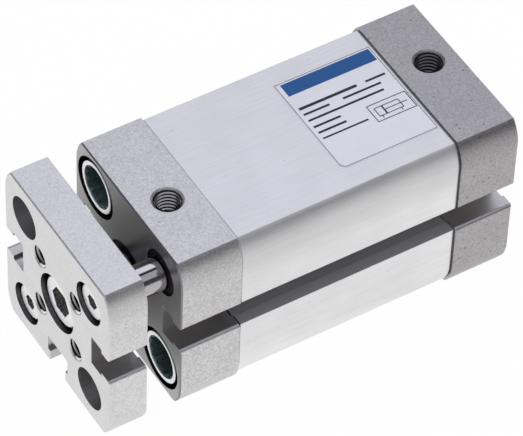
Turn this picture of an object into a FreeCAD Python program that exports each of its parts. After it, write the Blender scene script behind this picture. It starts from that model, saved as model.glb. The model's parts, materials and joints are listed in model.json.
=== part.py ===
import FreeCAD, Part
import math
import os
import Sketcher

# Guided pneumatic cylinder with a yoke plate, in millimetres.
# +X is the way the rod advances, +Z is the face with the air ports.
# The origin is the centre of the rear mounting face, on the rod's axis.
# The model stands with the rod fully drawn in.

os.makedirs("parts", exist_ok=True)
doc = FreeCAD.newDocument("guided_cylinder")

# ---------------------------------------------------------------- driving sizes

SIZES = {
    # bore, and the walls that build the section up round it
    "bore": 20.0,
    "stroke": 30.0,
    "channel_wall": 1.50635,
    "corner_margin": 6.75,
    "crease_inset": 1.95,
    "flank_radius": 7.3,
    "cap_edge": 0.25,
    "barrel_inset": 0.35,
    # sensor slots, open on three sides
    "slot_wall": 1.7,
    "slot_inner_width": 6.7,
    "slot_lip": 2.65,
    "cap_slot_mouth": 5.2,
    "cap_slot_round": 0.8,
    "barrel_slot_mouth": 5.6,
    # caps and joint gaskets
    "front_cap_length": 11.7,
    "rear_cap_length": 11.7,
    "gasket_thickness": 0.3,
    "rear_gasket_inset": 0.25,
    "front_gasket_inset": 0.05,
    "spigot_length": 1.5,
    "spigot_clearance": 0.05,
    # rod, its bush and its wiper
    "rod_diameter": 10.0,
    "rod_bush_wall": 1.18,
    "rod_bush_length": 6.5,
    "wiper_width": 2.6,
    "wiper_recess": 0.4,
    "relief": 0.45,
    # guide rods, their bushes and wipers
    "guide_shift": 0.2,
    "guide_diameter": 6.0,
    "guide_rear_gap": 2.5,
    "guide_bush_wall": 1.28,
    "guide_wiper_width": 1.4,
    "guide_wiper_recess": 0.3,
    # collar screws
    "mount_thread": 5.0,
    "collar_shank_wall": 1.5,
    "collar_grip": 9.0,
    "socket_diameter": 7.2,
    "socket_depth": 3.4,
    "socket_tooth": 0.45,
    "socket_teeth": 12,
    "socket_mouth": 0.3,
    "socket_mouth_edge": 0.05,
    "collar_rim": 0.85,
    "collar_head_length": 4.0,
    "collar_sunk": 0.2,
    "collar_gap": 1.0,
    "rear_collar_gap": 0.3,
    # air ports
    "port_thread": 5.0,
    "port_countersink": 0.4,
    "front_port_x": 6.1,
    "front_port_y": 2.6,
    "rear_port_x": 5.4,
    "rear_port_y": 2.8,
    "airway": 2.2,
    "airway_wall": 0.4,
    # rear centring recess
    "centring_diameter": 9.0,
    "centring_depth": 2.1,
    # yoke plate
    "plate_gap": 6.5,
    "plate_thickness": 7.3,
    "plate_pcd": 17.0,
    "plate_thread": 4.0,
    "plate_countersink": 0.3,
    "access_hole": 8.0,
    "rod_seat_depth": 0.8,
    "guide_seat_depth": 2.0,
    # screws of the yoke plate
    "rod_screw_thread": 6.0,
    "rod_screw_ledge": 2.0,
    "rod_screw_head_height": 3.6,
    "rod_screw_gap": 0.6,
    "rod_screw_sunk": 0.7,
    "rod_screw_length": 14.0,
    "rod_screw_key": 5.0,
    "rod_screw_key_depth": 2.4,
    "guide_screw_thread": 4.0,
    "guide_screw_ledge": 1.55,
    "guide_screw_head_height": 2.4,
    "guide_screw_gap": 0.45,
    "guide_screw_sunk": 0.65,
    "guide_screw_length": 10.0,
    "guide_screw_key": 2.5,
    "guide_screw_key_depth": 1.4,
    "screw_edge": 0.4,
    # piston
    "piston_length": 7.8,
    "piston_half_length": 3.0,
    "piston_clearance": 0.25,
    "piston_flange": 1.4,
    "piston_spigot": 6.0,
    "seal_height": 1.75,
    "seal_clearance": 0.05,
    "band_thickness": 1.3,
    "band_clearance": 0.07,
    "nut_wall": 1.0,
    "nut_height": 2.0,
    "nut_sunk": 0.2,
    # cushion rings
    "cushion_gap": 0.6,
    "cushion_wall": 1.3,
    "cushion_thickness": 1.0,
    # clearances
    "running": 0.02,
    "fit": 0.02,
    "screw_clearance": 0.05,
    "stop_gap": 0.1,
    "loose": 0.15,
}

sheet = doc.addObject("Spreadsheet::Sheet", "Sizes")
for row, (alias, value) in enumerate(SIZES.items(), start=1):
    sheet.set("A%d" % row, alias)
    sheet.set("B%d" % row, str(value))
    sheet.setAlias("B%d" % row, alias)
doc.recompute()


class Length:
    """A size with its value and the expression that gives it from the sheet."""

    def __init__(self, value, text):
        self.value = value
        self.text = text

    def join(self, other, sign, value):
        right = other.text if isinstance(other, Length) else repr(other)
        return Length(value, "(%s %s %s)" % (self.text, sign, right))

    def __add__(self, other):
        return self.join(other, "+", self.value + number(other))

    def __sub__(self, other):
        return self.join(other, "-", self.value - number(other))

    def __mul__(self, other):
        return self.join(other, "*", self.value * number(other))

    def __truediv__(self, other):
        return self.join(other, "/", self.value / number(other))

    def __neg__(self):
        return Length(-self.value, "(-1 * %s)" % self.text)

    def root(self):
        return Length(math.sqrt(self.value), "sqrt(%s)" % self.text)


def number(size):
    return size.value if isinstance(size, Length) else size


def size(alias):
    return Length(float(sheet.get(alias)), "Sizes.%s" % alias)


ZERO = Length(0.0, "0")

# ------------------------------------------------------- places along the rod axis

rear_joint = size("rear_cap_length")
barrel_start = rear_joint + size("gasket_thickness")
chamber_start = barrel_start + size("spigot_length")
piston_rear = chamber_start + size("cushion_thickness") + size("stop_gap")
piston_front = piston_rear + size("piston_length")
chamber_end = piston_front + size("stroke") + size("stop_gap") + size("cushion_thickness")
barrel_end = chamber_end + size("spigot_length")
front_joint = barrel_end + size("gasket_thickness")
front_face = front_joint + size("front_cap_length")
plate_back = front_face + size("plate_gap")
plate_front = plate_back + size("plate_thickness")
rear_screw_end = barrel_start + size("collar_grip")

# --------------------------------------------------------------- places across it

bore_radius = size("bore") / 2
spigot_radius = bore_radius - size("spigot_clearance")
shank_radius = size("mount_thread") / 2 + size("collar_shank_wall")
shank_hole = shank_radius + size("screw_clearance")
mount_y = (bore_radius + size("channel_wall") + shank_hole) / math.sqrt(2)
guide_y = mount_y - size("guide_shift")
half = mount_y + size("corner_margin")
crease = half - size("crease_inset")
rod_radius = size("rod_diameter") / 2
guide_radius = size("guide_diameter") / 2
rod_bush_radius = rod_radius + size("running") + size("rod_bush_wall")
guide_bush_radius = guide_radius + size("running") + size("guide_bush_wall")


# ------------------------------------------------------------------ shared helpers

def new_body(label):
    body = doc.addObject("PartDesign::Body", label)
    body.Label = label
    return body


def origin_plane(body, role):
    for feature in body.Origin.OriginFeatures:
        if feature.Role == role:
            return feature
    raise ValueError("no plane " + role)


def new_sketch(body, name, role, offset):
    sketch = body.newObject("Sketcher::SketchObject", body.Label + "_" + name)
    sketch.AttachmentSupport = (origin_plane(body, role), [""])
    sketch.MapMode = "FlatFace"
    sketch.setExpression("AttachmentOffset.Base.z", offset.text)
    return sketch


def pin_point(sketch, geometry, end, across, up):
    """Hold one end of a sketch line at a place bound to the sheet."""
    for kind, place, axis in (("DistanceX", across, -2), ("DistanceY", up, -1)):
        if place is ZERO:
            sketch.addConstraint(Sketcher.Constraint("PointOnObject", geometry, end, axis))
        else:
            datum = Sketcher.Constraint(kind, -1, 1, geometry, end, place.value)
            index = sketch.addConstraint(datum)
            sketch.setExpression("Constraints[%d]" % index, place.text)


def arc_centre(start, end, radius, turn):
    """Centre of the short arc from start to end, to its left for a turn of 1."""
    run = (end - start)
    chord = run.Length
    rise = math.sqrt(max(radius * radius - chord * chord / 4, 0.0))
    side = FreeCAD.Vector(-run.y, run.x, 0) * (turn / chord)
    return (start + end) * 0.5 + side * rise


def draw_outline(sketch, corners):
    """Draw a closed outline; a corner is (across, up) or (across, up, radius, turn).

    With a radius, the edge that leaves the corner is an arc instead of a line.
    """
    count = len(corners)
    points = [FreeCAD.Vector(c[0].value, c[1].value, 0) for c in corners]
    ends = []
    arcs = []
    for i, corner in enumerate(corners):
        start = points[i]
        end = points[(i + 1) % count]
        if len(corner) == 2:
            sketch.addGeometry(Part.LineSegment(start, end), False)
            ends.append((1, 2))
            continue
        radius = corner[2]
        turn = corner[3]
        middle = arc_centre(start, end, radius.value, turn)
        circle = Part.Circle(middle, FreeCAD.Vector(0, 0, 1), radius.value)
        first, last = (start, end) if turn > 0 else (end, start)
        low = math.atan2(first.y - middle.y, first.x - middle.x)
        high = math.atan2(last.y - middle.y, last.x - middle.x)
        if high < low:
            high += 2 * math.pi
        sketch.addGeometry(Part.ArcOfCircle(circle, low, high), False)
        ends.append((1, 2) if turn > 0 else (2, 1))
        arcs.append((i, radius))
    for i in range(count):
        after = (i + 1) % count
        joint = Sketcher.Constraint("Coincident", i, ends[i][1], after, ends[after][0])
        sketch.addConstraint(joint)
        pin_point(sketch, i, ends[i][0], corners[i][0], corners[i][1])
    for i, radius in arcs:
        index = sketch.addConstraint(Sketcher.Constraint("Radius", i, radius.value))
        sketch.setExpression("Constraints[%d]" % index, radius.text)


def draw_circle(sketch, across, up, radius):
    centre = FreeCAD.Vector(across.value, up.value, 0)
    circle = Part.Circle(centre, FreeCAD.Vector(0, 0, 1), radius.value)
    geometry = sketch.addGeometry(circle, False)
    pin_point(sketch, geometry, 3, across, up)
    index = sketch.addConstraint(Sketcher.Constraint("Radius", geometry, radius.value))
    sketch.setExpression("Constraints[%d]" % index, radius.text)


def pad(body, name, sketch, length):
    feature = body.newObject("PartDesign::Pad", body.Label + "_" + name)
    feature.Profile = sketch
    feature.setExpression("Length", length.text)
    return finish(body, feature, grows=True)


def pocket(body, name, sketch, depth, forward=False):
    """Cut against the sketch's normal, or along it when forward."""
    feature = body.newObject("PartDesign::Pocket", body.Label + "_" + name)
    feature.Profile = sketch
    feature.Reversed = forward
    feature.setExpression("Length", depth.text)
    return finish(body, feature, grows=False)


def finish(body, feature, grows):
    """Recompute and make sure that the feature changed its body as meant."""
    before = body.Shape.Volume if not body.Shape.isNull() else 0.0
    body.Tip = feature
    doc.recompute()
    if "Invalid" in feature.State or feature.Shape.isNull():
        raise RuntimeError("%s failed" % feature.Label)
    after = body.Shape.Volume
    if grows == (after <= before):
        raise RuntimeError("%s changed nothing: %g to %g" % (feature.Label, before, after))
    return feature


def turn(body, corners):
    """Revolve an outline of (along, radius) corners about the X axis."""
    sketch = new_sketch(body, "profile", "XZ_Plane", ZERO)
    draw_outline(sketch, corners)
    feature = body.newObject("PartDesign::Revolution", body.Label + "_turned")
    feature.Profile = sketch
    feature.ReferenceAxis = (sketch, ["H_Axis"])
    feature.Angle = 360.0
    return finish(body, feature, grows=True)


def drill(body, name, face, places, radius, depth, forward=False):
    """Cut round holes from a face across the X axis."""
    sketch = new_sketch(body, name + "_sketch", "YZ_Plane", face)
    for across, up in places:
        draw_circle(sketch, across, up, radius)
    return pocket(body, name, sketch, depth, forward)


def hexagon(key_width):
    reach = key_width / math.sqrt(3)
    corners = []
    for i in range(6):
        angle = math.radians(60 * i)
        corners.append((reach * math.cos(angle), reach * math.sin(angle)))
    return corners


def place(body, along, across, up):
    for axis, where in (("x", along), ("y", across), ("z", up)):
        body.setExpression("Placement.Base." + axis, where.text)


def is_circle(edge, radius):
    return isinstance(edge.Curve, Part.Circle) and abs(edge.Curve.Radius - radius.value) < 1e-4


def edges_on(body, axis, plane, radius=None):
    """Names of a body's edges in a plane across an axis; with a radius, only such circles."""
    names = []
    for i, edge in enumerate(body.Shape.Edges, start=1):
        low = getattr(edge.BoundBox, axis + "Min")
        high = getattr(edge.BoundBox, axis + "Max")
        flat = abs(low - plane.value) < 1e-4 and abs(high - plane.value) < 1e-4
        if flat and (radius is None or is_circle(edge, radius)):
            names.append("Edge%d" % i)
    return names


def chamfer(body, name, edges, width):
    base = body.Tip
    feature = body.newObject("PartDesign::Chamfer", body.Label + "_" + name)
    feature.Base = (base, edges)
    feature.setExpression("Size", width.text)
    return finish(body, feature, grows=False)


# ------------------------------------------------------------ the slotted section

def section_corners(inset):
    """Outline of the profile: creased top and bottom, flanks joined by arcs."""
    side = half - inset
    edge = crease - inset
    radius = size("flank_radius")
    lead = edge - side + radius
    rise = side - (radius * radius - lead * lead).root()
    return [
        (-edge, side, radius, 1),
        (-side, rise),
        (-side, -rise, radius, 1),
        (-edge, -side),
        (edge, -side, radius, 1),
        (side, -rise),
        (side, rise, radius, 1),
        (edge, side),
    ]


def slot_corners(inset, margin, mouth_width, round_radius):
    """Outline of one sensor slot on the +Y side, open outwards.

    The mouth's lips are rounded outwards, or square without a radius.
    """
    side = half - inset
    floor = bore_radius + size("slot_wall") - margin
    lip = half - size("slot_lip") + margin
    inner = size("slot_inner_width") / 2 + margin
    mouth = mouth_width / 2 + margin
    outside = side + size("slot_lip")
    if round_radius is None:
        lower = [(outside, -mouth)]
        upper = [(outside, mouth)]
    else:
        flare = mouth + round_radius
        shoulder = side - round_radius
        lower = [(shoulder, -mouth, round_radius, -1), (side, -flare), (outside, -flare)]
        upper = [(outside, flare), (side, flare, round_radius, -1), (shoulder, mouth)]
    inside = [(lip, mouth), (lip, inner), (floor, inner)]
    return [(floor, -inner), (lip, -inner), (lip, -mouth)] + lower + upper + inside


def slotted_block(label, start, length, inset, margin, mouth_width, round_radius=None, rims=()):
    """A length of the section with its three sensor slots and any broken end rims."""
    body = new_body(label)
    outline = new_sketch(body, "section", "YZ_Plane", start)
    draw_outline(outline, section_corners(inset))
    pad(body, "block", outline, length)
    for x in rims:
        chamfer(body, "rim", edges_on(body, "X", x), size("cap_edge"))
    slot = new_sketch(body, "slot_section", "YZ_Plane", start)
    draw_outline(slot, slot_corners(inset, margin, mouth_width, round_radius))
    first = pocket(body, "slot", slot, length, forward=True)
    spread = body.newObject("PartDesign::PolarPattern", label + "_slots")
    spread.Originals = [first]
    spread.Axis = (slot, ["N_Axis"])
    spread.Reversed = True
    spread.Angle = 180.0
    spread.Occurrences = 3
    finish(body, spread, grows=False)
    return body


def cap_block(label, start, length, rims):
    mouth = size("cap_slot_mouth")
    rounding = size("cap_slot_round")
    return slotted_block(label, start, length, ZERO, ZERO, mouth, rounding, rims)


def four_corners(reach):
    return [(reach, reach), (-reach, reach), (-reach, -reach), (reach, -reach)]


def screw_corners(reach):
    """The two corners that hold the front collar screws."""
    return [(-reach, reach), (reach, -reach)]


def rod_corners(reach):
    """The two corners that hold the guide rods."""
    return [(reach, reach), (-reach, -reach)]


# ------------------------------------------------------------------- the housing

def make_barrel():
    length = barrel_end - barrel_start
    inset = size("barrel_inset")
    body = slotted_block("barrel", barrel_start, length, inset, ZERO, size("barrel_slot_mouth"))
    drill(body, "bore", barrel_end, [(ZERO, ZERO)], bore_radius, length)
    drill(body, "channels", barrel_end, four_corners(mount_y), shank_hole, length)


def make_gasket(label, start):
    thickness = size("gasket_thickness")
    margin = size(label + "_inset")
    inset = size("barrel_inset") + margin
    body = slotted_block(label, start, thickness, inset, margin, size("barrel_slot_mouth"))
    end = start + thickness
    drill(body, "middle", end, [(ZERO, ZERO)], bore_radius + size("loose"), thickness)
    drill(body, "corners", end, four_corners(mount_y), guide_bush_radius + size("loose"), thickness)


def airway_height(across):
    """Height of an airway that runs just inside the spigot, off the middle by across."""
    reach = spigot_radius - size("airway_wall") - size("airway") / 2
    return (reach * reach - across * across).root()


def drill_port(body, along, across):
    """Threaded air port from the top face down to the middle of its airway, countersunk."""
    sketch = new_sketch(body, "port_sketch", "XY_Plane", half)
    radius = size("port_thread") / 2
    draw_circle(sketch, along, across, radius)
    pocket(body, "port", sketch, half - airway_height(across))
    chamfer(body, "port_countersink", edges_on(body, "Z", half, radius), size("port_countersink"))


def add_spigot(body, start, length):
    sketch = new_sketch(body, "spigot_sketch", "YZ_Plane", start)
    draw_circle(sketch, ZERO, ZERO, spigot_radius)
    pad(body, "spigot", sketch, length)


def make_front_cap():
    length = size("front_cap_length")
    body = cap_block("front_cap", front_joint, length, [front_face])
    add_spigot(body, chamber_end, front_joint - chamber_end)
    middle = [(ZERO, ZERO)]
    fit = size("fit")
    through = front_face - chamber_end
    drill(body, "relief", front_face, middle, rod_radius + size("relief"), through)
    bush_floor = size("wiper_recess") + size("wiper_width") + size("rod_bush_length")
    drill(body, "bush_bore", front_face, middle, rod_bush_radius + fit, bush_floor)
    drill(body, "guide_bores", front_face, rod_corners(guide_y), guide_bush_radius + fit, length)
    screws = screw_corners(mount_y)
    seat_depth = size("collar_sunk") + size("collar_head_length")
    drill(body, "screw_holes", front_face, screws, shank_hole, length)
    drill(body, "screw_seats", front_face, screws, collar_head() + size("collar_gap"), seat_depth)
    port_x = front_face - size("front_port_x")
    port_y = size("front_port_y")
    drill_port(body, port_x, port_y)
    airway = [(port_y, airway_height(port_y))]
    run = port_x - chamber_end
    drill(body, "airway", chamber_end, airway, size("airway") / 2, run, forward=True)


def make_rear_cap():
    length = size("rear_cap_length")
    body = cap_block("rear_cap", ZERO, length, [ZERO])
    add_spigot(body, rear_joint, chamber_start - rear_joint)
    screws = four_corners(mount_y)
    seat_depth = size("collar_sunk") + size("collar_head_length")
    seat = collar_head() + size("rear_collar_gap")
    drill(body, "screw_holes", ZERO, screws, shank_hole, length, forward=True)
    drill(body, "screw_seats", ZERO, screws, seat, seat_depth, forward=True)
    centring = size("centring_diameter") / 2
    drill(body, "centring", ZERO, [(ZERO, ZERO)], centring, size("centring_depth"), forward=True)
    port_x = size("rear_port_x")
    port_y = -size("rear_port_y")
    drill_port(body, port_x, port_y)
    airway = [(port_y, airway_height(port_y))]
    drill(body, "airway", chamber_start, airway, size("airway") / 2, chamber_start - port_x)


def collar_head():
    """Radius of a collar screw's head: socket, teeth and rim."""
    return size("socket_diameter") / 2 + size("socket_tooth") + size("collar_rim")


def ring_corners(start, length, inner, outer):
    end = start + length
    return [(start, inner), (end, inner), (end, outer), (start, outer)]


def make_rod_bush():
    body = new_body("rod_bush")
    depth = size("wiper_recess") + size("wiper_width") + size("rod_bush_length")
    inner = rod_radius + size("running")
    turn(body, ring_corners(front_face - depth, size("rod_bush_length"), inner, rod_bush_radius))


def make_wipers():
    """Black rings that wipe the rods where they leave the front cap."""
    running = size("running")
    width = size("wiper_width")
    body = new_body("rod_wiper_seal")
    start = front_face - size("wiper_recess") - width
    turn(body, ring_corners(start, width, rod_radius + running, rod_bush_radius))
    width = size("guide_wiper_width")
    start = front_face - size("guide_wiper_recess") - width
    for name, corner in zip(("upper", "lower"), rod_corners(guide_y)):
        body = new_body(name + "_guide_wiper")
        turn(body, ring_corners(start, width, guide_radius + running, guide_bush_radius))
        place(body, ZERO, corner[0], corner[1])


def make_guide_bushes():
    length = size("front_cap_length") - size("guide_wiper_recess") - size("guide_wiper_width")
    inner = guide_radius + size("running")
    for name, corner in zip(("upper", "lower"), rod_corners(guide_y)):
        body = new_body(name + "_guide_bush")
        turn(body, ring_corners(front_joint, length, inner, guide_bush_radius))
        place(body, ZERO, corner[0], corner[1])


def make_cushions():
    """Elastic rings on the spigots, which the piston meets at both ends."""
    thickness = size("cushion_thickness")
    inner = rod_radius + size("cushion_gap")
    outer = inner + size("cushion_wall")
    rear = new_body("rear_cushion_ring")
    turn(rear, ring_corners(chamber_start, thickness, inner, outer))
    front = new_body("front_cushion_ring")
    turn(front, ring_corners(chamber_end - thickness, thickness, inner, outer))


def toothed_corners(count, root, tooth):
    """Outline of a toothed socket: flat-topped teeth that stand in from the root circle."""
    corners = []
    step = 2 * math.pi / count
    for i in range(count):
        for reach, share in ((root, 0.0), (root, 0.5), (root - tooth, 0.62), (root - tooth, 0.88)):
            angle = step * (i + share)
            corners.append((reach * math.cos(angle), reach * math.sin(angle)))
    return corners


def make_collar_screw(label, length, corner, front):
    """Hollow collar screw: toothed socket below a round mouth, mounting thread behind it."""
    body = new_body(label)
    head = collar_head()
    head_length = size("collar_head_length")
    root = size("socket_diameter") / 2 + size("socket_tooth")
    mouth = root + size("socket_mouth_edge")
    turn(body, [
        (-size("socket_mouth"), ZERO),
        (-size("socket_mouth"), mouth),
        (ZERO, mouth),
        (ZERO, head),
        (-head_length, head),
        (-head_length, shank_radius),
        (-length, shank_radius),
        (-length, ZERO),
    ])
    drill(body, "thread", ZERO, [(ZERO, ZERO)], size("mount_thread") / 2, length)
    socket = new_sketch(body, "socket_sketch", "YZ_Plane", ZERO)
    draw_outline(socket, toothed_corners(int(size("socket_teeth").value), root, size("socket_tooth")))
    pocket(body, "socket", socket, size("socket_depth"))
    sunk = size("collar_sunk")
    if front:
        place(body, front_face - sunk, corner[0], corner[1])
    else:
        about = FreeCAD.Rotation(FreeCAD.Vector(0, 0, 1), 180)
        body.Placement = FreeCAD.Placement(FreeCAD.Vector(), about)
        place(body, sunk, corner[0], corner[1])


def make_collar_screws():
    reach = size("gasket_thickness") + size("collar_grip") - size("collar_sunk")
    for name, corner in zip(("upper", "lower"), screw_corners(mount_y)):
        length = size("front_cap_length") + reach
        make_collar_screw("front_collar_screw_" + name, length, corner, front=True)
    for i, corner in enumerate(four_corners(mount_y), start=1):
        length = size("rear_cap_length") + reach
        make_collar_screw("rear_collar_screw_%d" % i, length, corner, front=False)


# -------------------------------------------------------------------- the slider

def screw_head(name):
    """Radius of the head of one of the plate's socket screws."""
    return size(name + "_thread") / 2 + size(name + "_ledge")


def sink_screws(body, name, places, seat_radius, seat_depth):
    """Clearance hole and counterbore from the front, and the rod's seat from the back."""
    thickness = size("plate_thickness")
    hole = size(name + "_thread") / 2 + size("loose")
    floor = size(name + "_sunk") + size(name + "_head_height")
    head = screw_head(name) + size(name + "_gap")
    drill(body, name + "_holes", plate_front, places, hole, thickness)
    drill(body, name + "_heads", plate_front, places, head, floor)
    drill(body, name + "_seats", plate_back, places, seat_radius, seat_depth, forward=True)


def make_yoke_plate():
    thickness = size("plate_thickness")
    body = cap_block("yoke_plate", plate_back, thickness, [plate_front])
    fit = size("fit")
    sink_screws(body, "rod_screw", [(ZERO, ZERO)], rod_radius + fit, size("rod_seat_depth"))
    guides = rod_corners(guide_y)
    sink_screws(body, "guide_screw", guides, guide_radius + fit, size("guide_seat_depth"))
    access = size("access_hole") / 2
    drill(body, "access_holes", plate_front, screw_corners(mount_y), access, thickness)
    places = four_corners(size("plate_pcd") / 2 / math.sqrt(2))
    thread = size("plate_thread") / 2
    drill(body, "threads", plate_front, places, thread, thickness)
    rims = edges_on(body, "X", plate_front, thread)
    chamfer(body, "thread_countersinks", rims, size("plate_countersink"))


def make_piston_rod():
    body = new_body("piston_rod")
    front = plate_back + size("rod_seat_depth")
    edge = size("screw_edge")
    hole = size("rod_screw_thread") / 2 + size("screw_clearance")
    tip = plate_front - size("rod_screw_sunk") - size("rod_screw_head_height") - size("rod_screw_length")
    hole_end = tip - size("loose")
    spigot = size("piston_spigot") / 2
    turn(body, [
        (front, hole),
        (front, rod_radius - edge),
        (front - edge, rod_radius),
        (piston_front, rod_radius),
        (piston_front, spigot),
        (piston_rear + size("nut_sunk"), spigot),
        (piston_rear + size("nut_sunk"), ZERO),
        (hole_end, ZERO),
        (hole_end, hole),
    ])


def make_guide_rods():
    front = plate_back + size("guide_seat_depth")
    back = rear_screw_end + size("guide_rear_gap")
    edge = size("screw_edge")
    hole = size("guide_screw_thread") / 2 + size("screw_clearance")
    head = size("guide_screw_sunk") + size("guide_screw_head_height")
    hole_end = plate_front - head - size("guide_screw_length") - size("loose")
    for name, corner in zip(("upper", "lower"), rod_corners(guide_y)):
        body = new_body(name + "_guide_rod")
        turn(body, [
            (front, hole),
            (front, guide_radius - edge),
            (front - edge, guide_radius),
            (back + edge, guide_radius),
            (back, guide_radius - edge),
            (back, ZERO),
            (hole_end, ZERO),
            (hole_end, hole),
        ])
        place(body, ZERO, corner[0], corner[1])


def make_socket_screw(label, name, corner):
    """Low-head socket screw, sunk into the front of the yoke plate."""
    body = new_body(label)
    head = screw_head(name)
    height = size(name + "_head_height")
    shank = size(name + "_thread") / 2
    end = -(height + size(name + "_length"))
    edge = size("screw_edge")
    turn(body, [
        (ZERO, ZERO),
        (ZERO, head - edge),
        (-edge, head),
        (-height, head),
        (-height, shank),
        (end + edge, shank),
        (end, shank - edge),
        (end, ZERO),
    ])
    key = new_sketch(body, "key_sketch", "YZ_Plane", ZERO)
    draw_outline(key, hexagon(size(name + "_key")))
    pocket(body, "key", key, size(name + "_key_depth"))
    place(body, plate_front - size(name + "_sunk"), corner[0], corner[1])


def make_plate_screws():
    make_socket_screw("rod_screw", "rod_screw", (ZERO, ZERO))
    for name, corner in zip(("upper", "lower"), rod_corners(guide_y)):
        make_socket_screw(name + "_guide_rod_screw", "guide_screw", corner)


def half_piston_corners(face, inward):
    """Half of the piston: a flange, then the seat of its seal towards the magnet."""
    outer = bore_radius - size("piston_clearance")
    bore = size("piston_spigot") / 2 + size("fit")
    seat = face + size("piston_flange") * inward
    inner = face + size("piston_half_length") * inward
    root = outer - size("seal_height")
    return [(face, bore), (face, outer), (seat, outer), (seat, root), (inner, root), (inner, bore)]


def make_piston():
    front = new_body("front_piston_half")
    turn(front, half_piston_corners(piston_front, -1))
    rear = new_body("rear_piston_half")
    turn(rear, half_piston_corners(piston_rear, 1))
    recess = size("nut_height") + size("nut_sunk")
    room = nut_key() / math.sqrt(3) + size("loose")
    drill(rear, "nut_recess", piston_rear, [(ZERO, ZERO)], room, recess, forward=True)
    start = piston_rear + size("piston_half_length")
    length = size("piston_length") - size("piston_half_length") * 2
    fit = size("fit")
    band_radius = bore_radius - size("band_clearance")
    band_inner = band_radius - size("band_thickness")
    magnet = new_body("piston_magnet")
    turn(magnet, ring_corners(start, length, size("piston_spigot") / 2 + fit, band_inner - fit))
    band = new_body("piston_guide_band")
    turn(band, ring_corners(start, length, band_inner, band_radius))


def make_piston_seals():
    """Rings that sit between each flange and the guide band."""
    width = size("piston_half_length") - size("piston_flange")
    inner = bore_radius - size("piston_clearance") - size("seal_height") + size("fit")
    outer = bore_radius - size("seal_clearance")
    rear = new_body("rear_piston_seal")
    turn(rear, ring_corners(piston_rear + size("piston_flange"), width, inner, outer))
    front = new_body("front_piston_seal")
    turn(front, ring_corners(piston_front - size("piston_half_length"), width, inner, outer))


def nut_key():
    return size("piston_spigot") + size("nut_wall") * 2


def make_piston_nut():
    body = new_body("piston_nut")
    rear = piston_rear + size("nut_sunk")
    sketch = new_sketch(body, "outline", "YZ_Plane", rear)
    draw_outline(sketch, hexagon(nut_key()))
    pad(body, "hexagon", sketch, size("nut_height"))
    bore = size("piston_spigot") / 2 + size("fit")
    drill(body, "bore", rear, [(ZERO, ZERO)], bore, size("nut_height"), forward=True)


# ------------------------------------------------------------- build and write

def check_and_write():
    doc.recompute()
    for feature in doc.Objects:
        if "Invalid" in feature.State or "Error" in feature.State:
            raise RuntimeError("%s is %s" % (feature.Label, feature.State))
    bodies = [o for o in doc.Objects if o.TypeId == "PartDesign::Body"]
    for body in bodies:
        if body.Shape.isNull() or not body.Shape.isValid():
            raise RuntimeError("%s has no valid shape" % body.Label)
        if len(body.Shape.Solids) != 1:
            raise RuntimeError("%s has %d solids" % (body.Label, len(body.Shape.Solids)))
    for body in bodies:
        body.Shape.exportStep("parts/%s.step" % body.Label)
        print("%-28s %10.2f mm3" % (body.Label, body.Shape.Volume))
    print("%d parts written" % len(bodies))


make_barrel()
make_gasket("rear_gasket", rear_joint)
make_gasket("front_gasket", barrel_end)
make_front_cap()
make_rear_cap()
make_rod_bush()
make_guide_bushes()
make_wipers()
make_cushions()
make_collar_screws()
make_yoke_plate()
make_piston_rod()
make_guide_rods()
make_plate_screws()
make_piston()
make_piston_seals()
make_piston_nut()
check_and_write()
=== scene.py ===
"""Dresses the guided pneumatic cylinder: finishes, bright edges, threads, label and studio."""

import json
import logging
import math
from dataclasses import dataclass
from enum import Enum, IntEnum
from functools import cache
from typing import Iterable, Optional, Sequence, Union

import bmesh
import bpy
from mathutils import Matrix, Vector


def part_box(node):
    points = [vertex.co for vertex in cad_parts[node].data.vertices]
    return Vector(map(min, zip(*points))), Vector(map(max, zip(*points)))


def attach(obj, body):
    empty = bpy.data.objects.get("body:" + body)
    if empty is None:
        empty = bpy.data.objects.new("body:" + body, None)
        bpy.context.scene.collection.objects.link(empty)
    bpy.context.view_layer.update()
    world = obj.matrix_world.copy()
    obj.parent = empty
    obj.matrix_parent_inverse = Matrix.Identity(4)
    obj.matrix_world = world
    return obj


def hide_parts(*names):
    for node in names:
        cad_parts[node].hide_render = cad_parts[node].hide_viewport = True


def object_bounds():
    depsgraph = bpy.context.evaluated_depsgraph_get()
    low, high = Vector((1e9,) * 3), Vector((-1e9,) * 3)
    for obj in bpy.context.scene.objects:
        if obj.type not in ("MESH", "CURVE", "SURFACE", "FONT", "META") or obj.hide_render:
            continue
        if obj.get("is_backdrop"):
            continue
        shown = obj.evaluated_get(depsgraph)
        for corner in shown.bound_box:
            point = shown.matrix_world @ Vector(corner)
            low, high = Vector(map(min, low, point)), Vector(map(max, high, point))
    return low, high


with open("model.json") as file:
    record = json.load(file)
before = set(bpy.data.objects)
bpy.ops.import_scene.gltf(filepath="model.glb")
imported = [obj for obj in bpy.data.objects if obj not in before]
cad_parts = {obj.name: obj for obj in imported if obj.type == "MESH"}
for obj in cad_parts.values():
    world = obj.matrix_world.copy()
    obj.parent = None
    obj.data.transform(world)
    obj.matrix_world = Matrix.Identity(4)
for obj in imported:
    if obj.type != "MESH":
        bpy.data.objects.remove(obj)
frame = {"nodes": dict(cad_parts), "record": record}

LOG = logging.getLogger("guided_cylinder")
MM = 0.001
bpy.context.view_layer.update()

Mesh = bmesh.types.BMesh
Socket = bpy.types.NodeSocket
Value = Union[Socket, float]
Point = tuple[float, float]
Triple = tuple[float, float, float]
Bar = tuple[Point, Point, float]

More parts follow.
